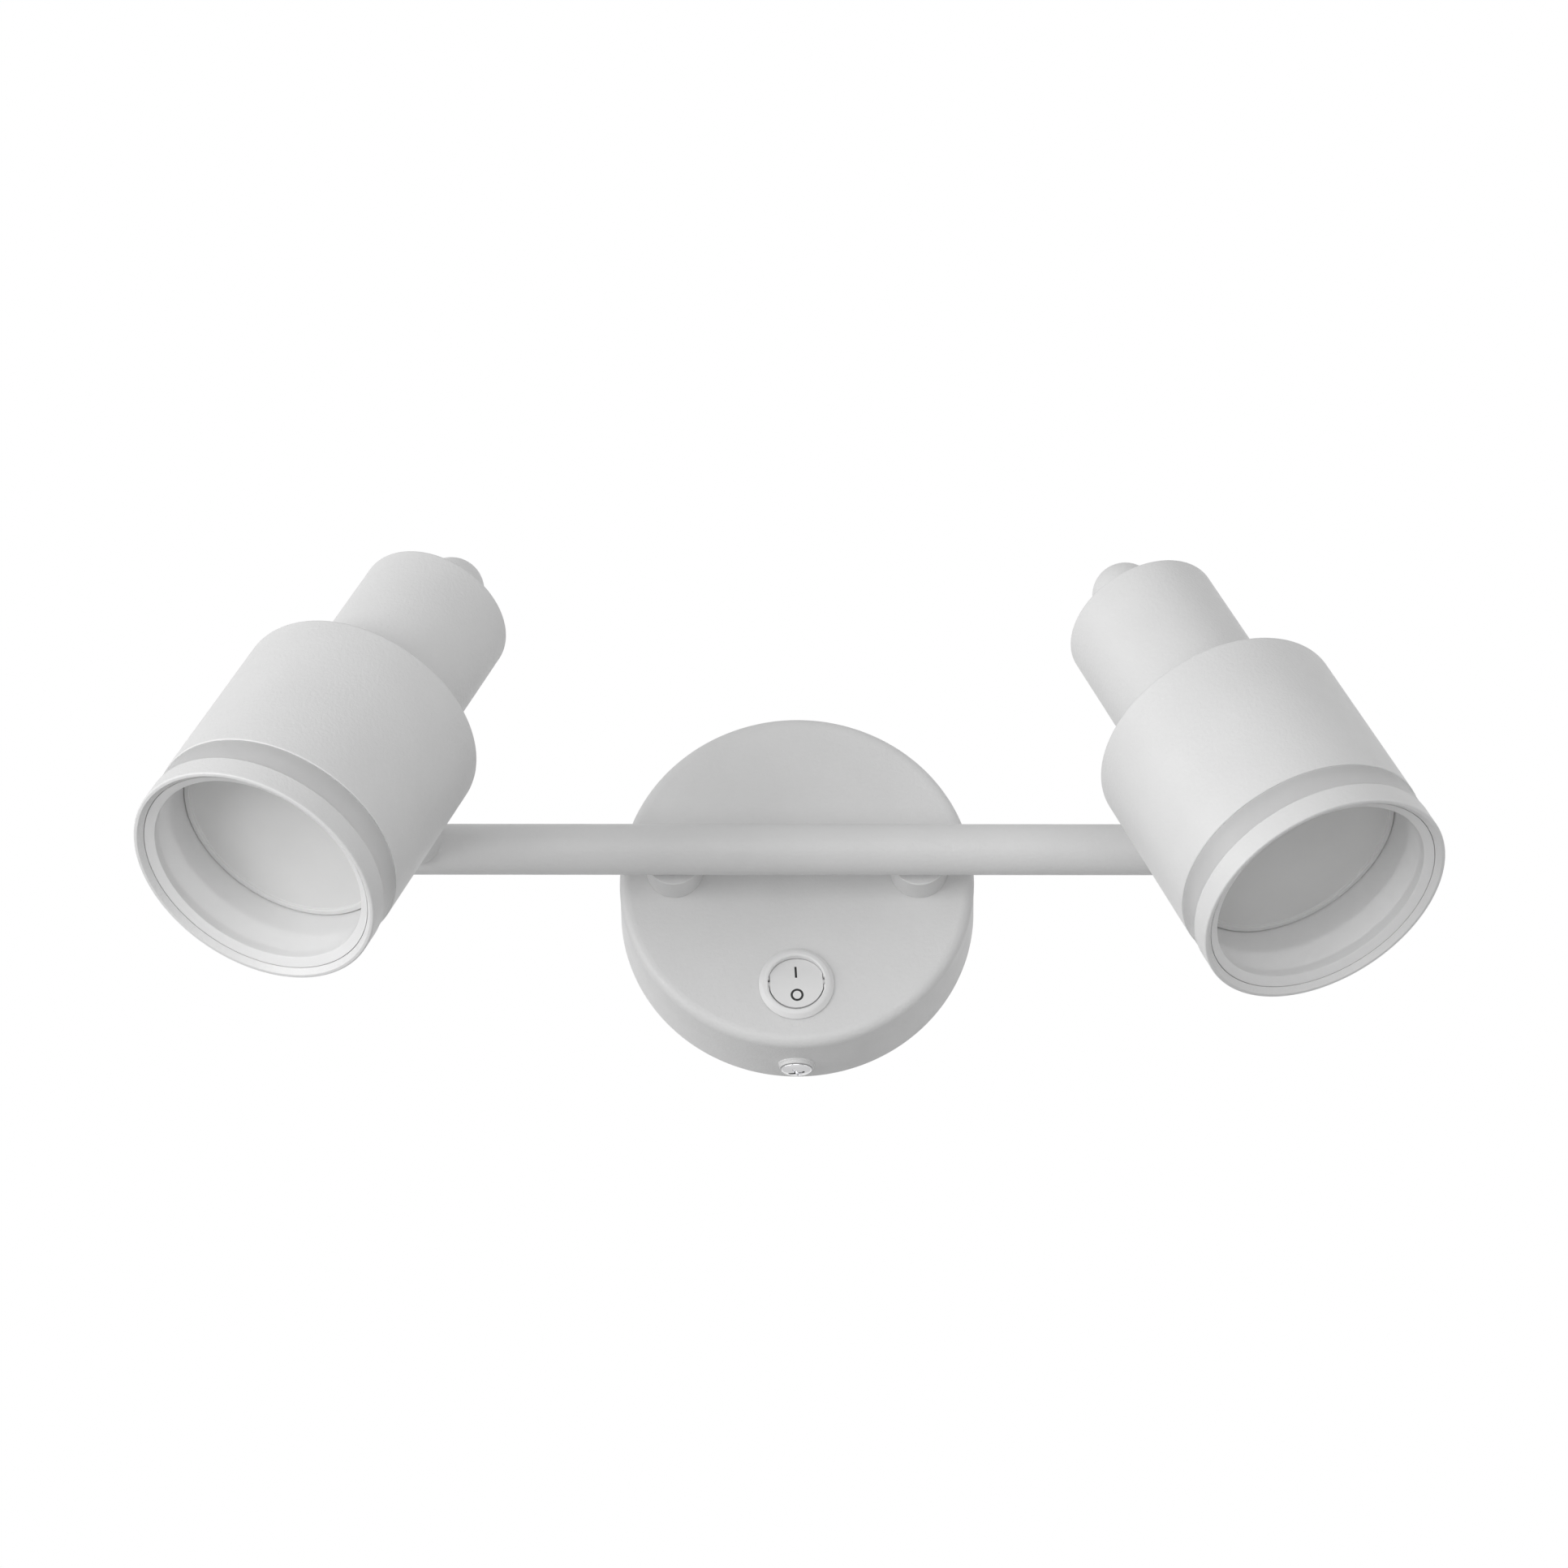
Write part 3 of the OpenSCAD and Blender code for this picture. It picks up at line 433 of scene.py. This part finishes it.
bezel = turned("switch_bezel", [
    (0, floor_at), (mouth_r, floor_at), (mouth_r, 2.4, 0.6), (10.3, 1.9, 1.5),
    (bezel_out, 0.75, 0.3), (bezel_out, 0.25, 0.05), (bezel_under, 0.25), (bezel_under, 0),
    (body_r, 0), (body_r, body_end, 0.6), (0, body_end),
], switch_place, 192, flattened)
low, high = (-notch_out, -notch_half, notch_foot), (notch_out, notch_half, notch_top)
notch = block("cut", low, high, switch_place, 0.3)
reshaped(bezel, "DIFFERENCE", notch)
put_on(bezel, plastic, "white_plastic", "base", "switch_housing")
softened("switch_terminals", brass, "brass", "base", 0.08)


# Rocker: a round button of the same plastic with two slopes that meet in a soft ridge, tipping on
# two ears. Its upper half is pressed in, and its lower half stands flush with the bezel.
rocker_place = switch_place @ Matrix.Rotation(math.radians(-8), 4, "X")
sideways = rocker_place @ placed((0, 0, 0), (0, 1, 0), (1, 0, 0))
rocker_r, rocker_rise, rocker_side, slope = 8.42, 2.0, 8.03, math.radians(8)
skirt_r, skirt_in, skirt_end = 7.4, 5.5, -4
ear_r, ear_reach = 1.2, 9.2


def prism(name, corners, low, high, place):
    """A closed outline of (x, y) corners in millimetres, drawn out along z between two heights."""
    mesh = bmesh.new()
    outline = eased(corners)
    first, last = ([mesh.verts.new((p.x * MM, p.y * MM, z * MM)) for p in outline] for z in (low, high))
    mesh.faces.new(first)
    mesh.faces.new(last)
    for side in zip(first, first[1:] + first[:1], last[1:] + last[:1], last):
        mesh.faces.new(side)
    return shown(name, mesh, place)


def rocker_form(proud, half_width):
    """The rocker's long form, raised by a little where it is the skin of a mark."""
    foot, reach, ridge_r = -9, 12, 26
    top = rocker_rise + proud
    edge = rocker_rise + proud - reach * math.tan(slope)
    corners = [(reach, foot), (reach, edge), (0, top, ridge_r), (-reach, edge), (-reach, foot)]
    return prism("form", corners, -half_width, half_width, sideways)


rocker = turned("switch_rocker", [
    (0, 2.4), (rocker_r, 2.4), (rocker_r, -1.2), (skirt_r, skirt_end, 0.3), (skirt_in, skirt_end),
    (skirt_in, -1), (0, -1),
], rocker_place, 160)
reshaped(rocker, "INTERSECT", rocker_form(0, rocker_side))
ears = turned("ears", [
    (0, ear_reach), (ear_r, ear_reach, 0.2), (ear_r, -ear_reach, 0.2), (0, -ear_reach),
], rocker_place @ Matrix.Rotation(math.pi / 2, 4, "Y"), 48)
reshaped(rocker, "UNION", ears)
ease_edges(rocker, 0.18, 3, 30)
put_on(rocker, plastic, "white_plastic", "rocker", "switch_rocker")


# Marks: black paint printed on the rocker's two slopes, a line for on above and a ring for off
# below. Each is a thin skin that follows the slope.
mark_paint = surface("mark_paint", (0.009, 0.009, 0.010), 0.6, mottle=(900, 0.2),
                     relief=(3000, 0.00001))
line_half, line_foot, line_top = 0.33, 1.35, 5.45
off_in, off_out, off_down, paint = 1.30, 1.97, 4.4, 0.015
off_place = rocker_place @ Matrix.Translation((0, -off_down * MM, 0))
line = block("mark_line", (-line_half, line_foot, 1), (line_half, line_top, 3), rocker_place, 0)
circle = turned("mark_ring", [
    (off_in, 3), (off_out, 3), (off_out, 0.5), (off_in, 0.5),
], off_place, 96)
for mark in (line, circle):
    reshaped(mark, "INTERSECT", rocker_form(paint, 7))
    put_on(mark, mark_paint, "white_plastic", "rocker")


# Posts: turned steel spacers, coated white, each hollowed on its front to sit against the bar. A
# threaded tube and a flanged nut hold each one, and the leads pass through.
bar_out, bar_r = 44.5, 7.75
post_r, post_end = 8.75, 37.65
across = placed((0, -bar_out * MM, bar_z * MM), (0, 0, 1), (1, 0, 0))
for name, place in zip(("left_post", "right_post"), post_places):
    post = turned(name, [
        (tube_hole, cover_front), (post_r, cover_front, 0.25), (post_r, post_end, 0.35),
        (tube_hole, post_end),
    ], place, 128)
    reshaped(post, "DIFFERENCE", drill(bar_r, -70, 70, across, 160))
    put_on(post, white_coat, "white_paint", "base", name)
softened("post_nipples", zinc, "zinc_steel", "base", 0.15)
softened("post_nuts", zinc, "zinc_steel", "base", 0.15)


# Bar: a straight steel tube, coated white. It has holes for the threaded tubes behind and for the
# swivel bolts in front.
bar_half, bar_in, joint_x, bar_hole, bolt_hole = 126, 6.25, 115.5, 5.05, 4.05
bolt_places = [
    placed((s * joint_x * MM, -bar_out * MM, bar_z * MM), (1, 0, 0), (0, -1, 0)) for s in (-1, 1)
]
bar = turned("crossbar", [
    (bar_r, -bar_half, 0.15), (bar_r, bar_half, 0.15), (bar_in, bar_half, 0.1),
    (bar_in, -bar_half, 0.1),
], across, 160)
cuts = [drill(bar_hole, 42, 30, place) for place in post_places]
cuts += [drill(bolt_hole, 12, 2, place) for place in bolt_places]
reshaped(bar, "DIFFERENCE", *cuts)
put_on(bar, white_coat, "white_paint", "base", "crossbar")


# End caps: plugs pressed into the bar's ends, with a low dome as wide as the bar, turned and coated
# white.
dome_r, dome_rise, plug_r, plug_end, cap_foot = 23.25, 2, 6.2, -5, 0.02
dome = [(r, dome_rise - dome_r + math.sqrt(dome_r ** 2 - r * r)) for r in (0, 1.5, 3, 4.5, 6, 7.2)]
for name, s in (("left_end_cap", -1), ("right_end_cap", 1)):
    plug = turned(name, dome + [
        (bar_r, 0.55, 0.15), (bar_r, cap_foot, 0.08), (plug_r, cap_foot), (plug_r, plug_end, 0.4),
        (0, plug_end),
    ], placed((s * bar_half * MM, -bar_out * MM, bar_z * MM), (0, 0, s), (s, 0, 0)), 128)
    put_on(plug, white_coat, "white_paint", "base", name)


# Joints: on each end of the bar a turned seat, a knuckle that swivels on it round a hollow bolt,
# and an arm that tilts on the knuckle's screw. A fibre washer between the two gives the friction.
fibre = surface("black_fibre", (0.035, 0.035, 0.037), 0.75, mottle=(500, 0.25),
                relief=(1400, 0.00003))
seat_r, seat_low, seat_top = 8, 6.85, 10.0
softened("swivel_washers", zinc, "zinc_steel", "base", 0.08)
for side, place in zip(("left", "right"), bolt_places):
    seat = turned(side + "_joint_seat", [
        (bolt_hole, seat_top), (seat_r, seat_top, 0.25), (seat_r, seat_low), (bolt_hole, seat_low),
    ], place, 128)
    along_bar = placed(place.translation, (0, 0, 1), (1, 0, 0))
    reshaped(seat, "DIFFERENCE", drill(bar_r, -20, 20, along_bar, 160))
    put_on(seat, white_coat, "white_paint", "base", side + "_joint_seat")
    turning, tilting = side + "_swivel_part", side + "_arm_part"
    softened(side + "_knuckle", white_coat, "white_paint", turning, 0.35)
    softened(side + "_swivel_bolt", zinc, "zinc_steel", turning, 0.12)
    softened(side + "_pivot_screw", bright, "bright_steel", turning, 0.15)
    softened(side + "_pivot_nut", zinc, "zinc_steel", turning, 0.12)
    softened(side + "_friction_washer", fibre, "fibre", turning, 0.05)
    softened(side + "_arm", white_coat, "white_paint", tilting, 0.35)
    softened(side + "_stem_nut", zinc, "zinc_steel", tilting, 0.15)


# Lamp heads: two spun aluminium cans, each held at its rear housing's side by the stem of its arm.
# Their places follow from the joints: how far the stem reaches, where along the head it meets the
# housing, and how far the head is turned on it.
arm_reach, stem_at = 55.2, 92
joints = {joint["name"]: joint for joint in frame["joints"]}
heads = []
stem_places = {}
for side, rest_turn in (("left", 27), ("right", 18)):
    tilting, turning = joints[side + "_tilt"], joints[side + "_turn"]
    pivot, across_arm = Vector(tilting["pos_m"]), Vector(tilting["axis"])
    stem = (Vector(turning["pos_m"]) - pivot).normalized()
    at_rest = Matrix.Rotation(math.radians(rest_turn), 3, Vector(turning["axis"]))
    rear = at_rest @ across_arm.cross(stem)
    head = placed(pivot + (stem * arm_reach - rear * stem_at) * MM, rear.cross(stem), rear)
    heads.append((side, side + "_lamp_head", head))
    stem_places[side] = placed(pivot, across_arm, stem)


def round_head(head, out, along, angle):
    """A place in a head, off its axis and turned round it by an angle in degrees."""
    aside = Matrix.Translation((out * MM, 0, along * MM))
    return head @ Matrix.Rotation(math.radians(angle), 4, "Z") @ aside


# Front rings: turned aluminium, coated white. The rim is narrow and flat, and slopes into the mouth
# as far as the light ring, over which the front ring is pushed.
head_coat = powder_coat("head_powder_coat")
outer_r, ring_in, ring_flat, ring_end = 37.25, 34.75, 36.1, 7
for side, body, head in heads:
    ring = turned(side + "_front_ring", [
        (ring_in, 1.5, 0.15), (ring_flat, 0, 0.3), (outer_r, 0, 0.5), (outer_r, ring_end, 0.25),
        (ring_in, ring_end, 0.1),
    ], head, 256)
    put_on(ring, head_coat, "head_paint", body, side + "_front_ring")


# Light rings: each is one moulding of acrylic from the rim to the diffuser. It is frosted on the
# outside, where it shows as a band behind the front ring. In the mouth its faces take a whiter,
# less clear copy of the same acrylic, which paints light there against the darker band.
def acrylic(name, white, clear):
    """Acrylic with a fine frosted skin. White is its colour, and clear is how much light it passes."""
    colour = (white, white, white)
    material = surface(name, colour, 0.42, gloss=(500, 0.06), mottle=(60, 0.01), relief=(1800, 0.00001))
    shader = material.node_tree.nodes["Principled BSDF"]
    shader.inputs["Transmission Weight"].default_value = clear
    shader.inputs["IOR"].default_value = 1.49
    return material


frosted = acrylic("frosted_acrylic", 0.78, 0.5)
# A whiter, less clear copy of the same acrylic for the mouth: painted light.
lit_mouth = acrylic("lit_mouth_acrylic", 0.93, 0.25)
light_in, sleeve_r, neck_r, light_end = 32, 34.62, 35.35, 24.5
band_r, band_front, band_back = 36.95, 7.02, 15.18
lit_mouth_r = 34.5
for side, body, head in heads:
    guide = turned(side + "_light_ring", [
        (light_in, 3.0, 0.3), (sleeve_r, 1.55, 0.08), (sleeve_r, band_front),
        (band_r, band_front, 0.15), (band_r, band_back, 0.15), (neck_r, band_back),
        (neck_r, light_end), (light_in + 0.75, light_end),
    ], head, 256)
    put_on(guide, frosted, "clear_acrylic", body, side + "_light_ring")
    guide.data.materials.append(lit_mouth)
    # Painted light: faces nearer the head's axis than the mouth's radius take the whiter copy.
    to_head = head.inverted()
    for face in guide.data.polygons:
        face.material_index = int((to_head @ face.center).xy.length < lit_mouth_r * MM)


# Diffusers: opal plastic discs with a raised rim, which close the mouths behind the light rings.
# They are moulded, and clipped in between the light ring and the reflector.
opal = surface("opal_plastic", (0.67, 0.67, 0.667), 0.50, mottle=(80, 0.015), gloss=(400, 0.04),
               relief=(1900, 0.000012))
opal_r, opal_at = 32.45, 22.1
field_r, field_at = opal_r - 1.7, opal_at + 0.8
for side, body, head in heads:
    disc = turned(side + "_diffuser", [
        (0, field_at), (field_r, field_at, 0.3), (field_r, opal_at, 0.3), (opal_r, opal_at, 0.35),
        (opal_r, light_end), (0, light_end),
    ], head, 256)
    put_on(disc, opal, "opal_plastic", body, side + "_diffuser")


# Shells: spun aluminium cans with a rounded rear edge, coated white. Three posts on the floor of
# each one carry the heat sink, and its rear opening fits round the rear housing.
shell_front, shell_in, shell_end = 15.2, 35.45, 70.5
floor_front = shell_end - 2
rear_r, sink_at = 23.25, 41.6
pillar_in, pillar_r, pillar_out, pillar_start = 1.55, 3.2, 32.25, sink_at + 5
pillar_angles = (90, 210, 330)
for side, body, head in heads:
    shell = turned(side + "_head_shell", [
        (outer_r, shell_front, 0.4), (outer_r, shell_end, 1), (rear_r + 0.1, shell_end, 0.3),
        (rear_r + 0.1, floor_front), (shell_in, floor_front, 0.4),
        (shell_in, shell_front, 0.2),
    ], head, 256)
    put_on(shell, head_coat, "head_paint", body, side + "_head_shell")
    for angle in pillar_angles:
        pillar = turned(f"{side}_shell_post_{angle}", [
            (pillar_in, pillar_start), (pillar_r, pillar_start, 0.2), (pillar_r, floor_front),
            (pillar_in, floor_front),
        ], round_head(head, pillar_out, 0, angle), 48)
        put_on(pillar, head_coat, "head_paint", body)


# Rear housings: smaller cans of the same make, each with a flange inside the shell, notched for the
# shell's posts. The closed end has a hole for the cap's stud, and the side has one for the stem.
rear_end, rear_in, stud_hole, stem_hole = 123, rear_r - 2, 2.1, 4.05
flange_r, flange_front, flange_back, pillar_room = 29.15, 66.5, 68.5, 3.9
for side, body, head in heads:
    housing = turned(side + "_rear_housing", [
        (rear_in, flange_front, 0.2), (flange_r, flange_front, 0.3), (flange_r, flange_back, 0.3),
        (rear_r, flange_back), (rear_r, rear_end, 1), (stud_hole, rear_end),
        (stud_hole, rear_end - 2), (rear_in, rear_end - 2, 0.5),
    ], head, 224)
    cuts = [drill(stem_hole, 60, 20, stem_places[side])]
    notches = [round_head(head, pillar_out, 0, angle) for angle in pillar_angles]
    cuts += [drill(pillar_room, 70, 60, place, 48) for place in notches]
    reshaped(housing, "DIFFERENCE", *cuts)
    put_on(housing, head_coat, "head_paint", body, side + "_rear_housing")


# Rear caps: turned solid and coated white, with a straight side and a round end. A stud through the
# housing's end holds each one.
cap_r, cap_straight, stud_r, stud_end = 9.8, 11.5, 2, rear_end - 6
cap_start = rear_end + 0.02
round_end = []
for a in (math.radians(degrees) for degrees in range(90, -1, -6)):
    round_end.append((cap_r * math.cos(a), rear_end + cap_straight + cap_r * math.sin(a)))
for side, body, head in heads:
    cap = turned(side + "_rear_cap", round_end + [
        (cap_r, cap_start, 0.25), (stud_r, cap_start), (stud_r, stud_end, 0.3), (0, stud_end),
    ], head, 144)
    put_on(cap, head_coat, "head_paint", body, side + "_rear_cap")


# Stem collars: turned rings on the arms' stems, hollowed to sit on the rear housing's round side. A
# zinc-plated seat inside and three long screws in the head finish the hold.
collar_r, collar_start, collar_end = 8, 29.15, 34
for side, body, head in heads:
    collar = turned(side + "_stem_collar", [
        (stem_hole, collar_start), (collar_r, collar_start, 0.3), (collar_r, collar_end),
        (stem_hole, collar_end),
    ], stem_places[side], 128)
    reshaped(collar, "DIFFERENCE", drill(rear_r, 60, 120, head, 224))
    put_on(collar, head_coat, "white_paint", body, side + "_stem_collar")
    softened(side + "_stem_seat", zinc, "zinc_steel", body, 0.15)
    softened(side + "_head_screws", zinc, "zinc_steel", body, 0.08)


# Reflectors: bright white plastic cups, wide at the diffuser and narrow at the board. Their front
# rim is held between the light ring's end and the shell.
gloss_white = surface("reflector_white", (0.80, 0.80, 0.80), 0.22, gloss=(300, 0.05),
                      relief=(1200, 0.000006))
cup_in, cup_rim, board_r = opal_r - 1, light_end + 1.5, 23.5
for side, body, head in heads:
    cup = turned(side + "_reflector", [
        (cup_in, light_end), (neck_r, light_end, 0.2), (neck_r, cup_rim, 0.2),
        (cup_in + 1.2, cup_rim), (board_r + 1.6, sink_at), (board_r + 0.4, sink_at),
        (cup_in, cup_rim, 0.5),
    ], head, 160)
    put_on(cup, gloss_white, "reflector_plastic", body, side + "_reflector")


# Boards and heat sinks: a round white board in each head with nine square emitters under yellow
# phosphor, on a finned sink of cast aluminium.
mask = surface("solder_mask", (0.74, 0.75, 0.72), 0.38, mottle=(200, 0.03), relief=(2000, 0.000008))
phosphor = surface("yellow_phosphor", (0.78, 0.62, 0.12), 0.35, mottle=(1500, 0.08),
                   relief=(2500, 0.00001))
cast = surface("cast_aluminium", (0.52, 0.53, 0.54), 0.42, metallic=1.0, mottle=(300, 0.07),
               gloss=(600, 0.10), relief=(700, 0.00004))
board_front, chip_half, chip_rise, dot_r = sink_at - 1.6, 1.4, 0.7, 1.1
outer_spots = [(15, angle) for angle in range(0, 360, 60)]
inner_spots = [(6, angle) for angle in (30, 150, 270)]
for side, body, head in heads:
    board = turned(side + "_led_board", [
        (0, board_front), (board_r, board_front, 0.15), (board_r, sink_at, 0.15), (0, sink_at),
    ], head, 128)
    put_on(board, mask, "board_white", body, side + "_led_board")
    for number, (out, angle) in enumerate(outer_spots + inner_spots):
        chip_place = round_head(head, out, board_front, angle)
        low, high = (-chip_half, -chip_half, -chip_rise), (chip_half, chip_half, 0.05)
        chip = block(f"{side}_emitter_{number}", low, high, chip_place, 0.12)
        put_on(chip, mask, "board_white", body)
        dot = turned(f"{side}_phosphor_{number}", [
            (0, -0.74), (dot_r, -0.74, 0.03), (dot_r, -0.6), (0, -0.6),
        ], chip_place, 32)
        put_on(dot, phosphor, "board_white", body)
    softened(side + "_heat_sink", cast, "cast_aluminium", body, 0.25)


# Floor: plain and pale, well below the lamp. It takes the lamp's soft shadow, and is as pale to the
# eye as the room behind.
floor_half, floor_low, floor_seen = 6, -1.6, 0.5
floor_mesh = bmesh.new()
bmesh.ops.create_grid(floor_mesh, x_segments=8, y_segments=8, size=floor_half)
floor = shown("floor", floor_mesh, Matrix.Translation((0, 0, floor_low)))
pale = surface("pale_floor", (0.6, 0.6, 0.6), 0.8, mottle=(3, 0.01), gloss=(8, 0.03),
               relief=(40, 0.0001))
pale_tree = pale.node_tree
pale_shader = pale_tree.nodes["Principled BSDF"]
pale_shader.inputs["Emission Color"].default_value = (1, 1, 1, 1)
paleness = pale_tree.nodes.new("ShaderNodeMath")
paleness.operation = "MULTIPLY"
paleness.inputs[1].default_value = floor_seen
pale_tree.links.new(seen_directly(pale_tree), paleness.inputs[0])
pale_tree.links.new(paleness.outputs[0], pale_shader.inputs["Emission Strength"])
floor.data.materials.append(pale)
